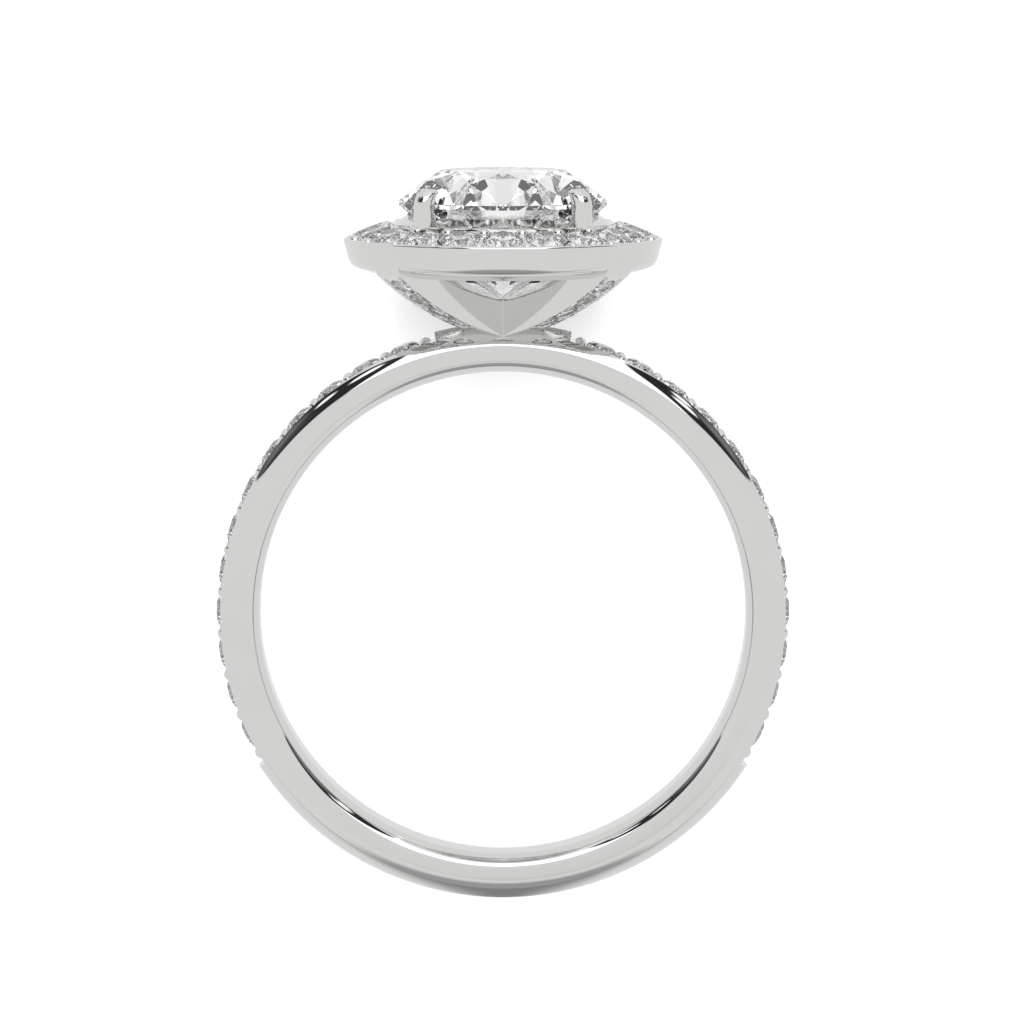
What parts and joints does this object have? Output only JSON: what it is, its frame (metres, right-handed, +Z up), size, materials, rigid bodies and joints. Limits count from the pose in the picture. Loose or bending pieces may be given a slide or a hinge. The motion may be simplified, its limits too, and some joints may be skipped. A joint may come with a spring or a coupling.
{
  "type": "halo ring",
  "caption": "Round halo ring lying on its side: a polished white metal band and open gallery with a claw-set round centre stone and rows of small round stones.",
  "frame": {"origin": "on the table under the middle of the resting ring's length and width", "axes": "+Y from the band's foot towards the head, level; +Z up from the table; X across the band's width as seen through the finger hole"},
  "size_m": [0.02, 0.0254, 0.0108],
  "materials": {
    "metal": "polished",
    "stone": "faceted and polished"
  },
  "bodies": {
    "root": {"ring_metal": "metal", "centre_stone": "stone", "halo_stones": "stone", "band_stones": "stone", "rib_stones": "stone"}
  },
  "joints": []
}
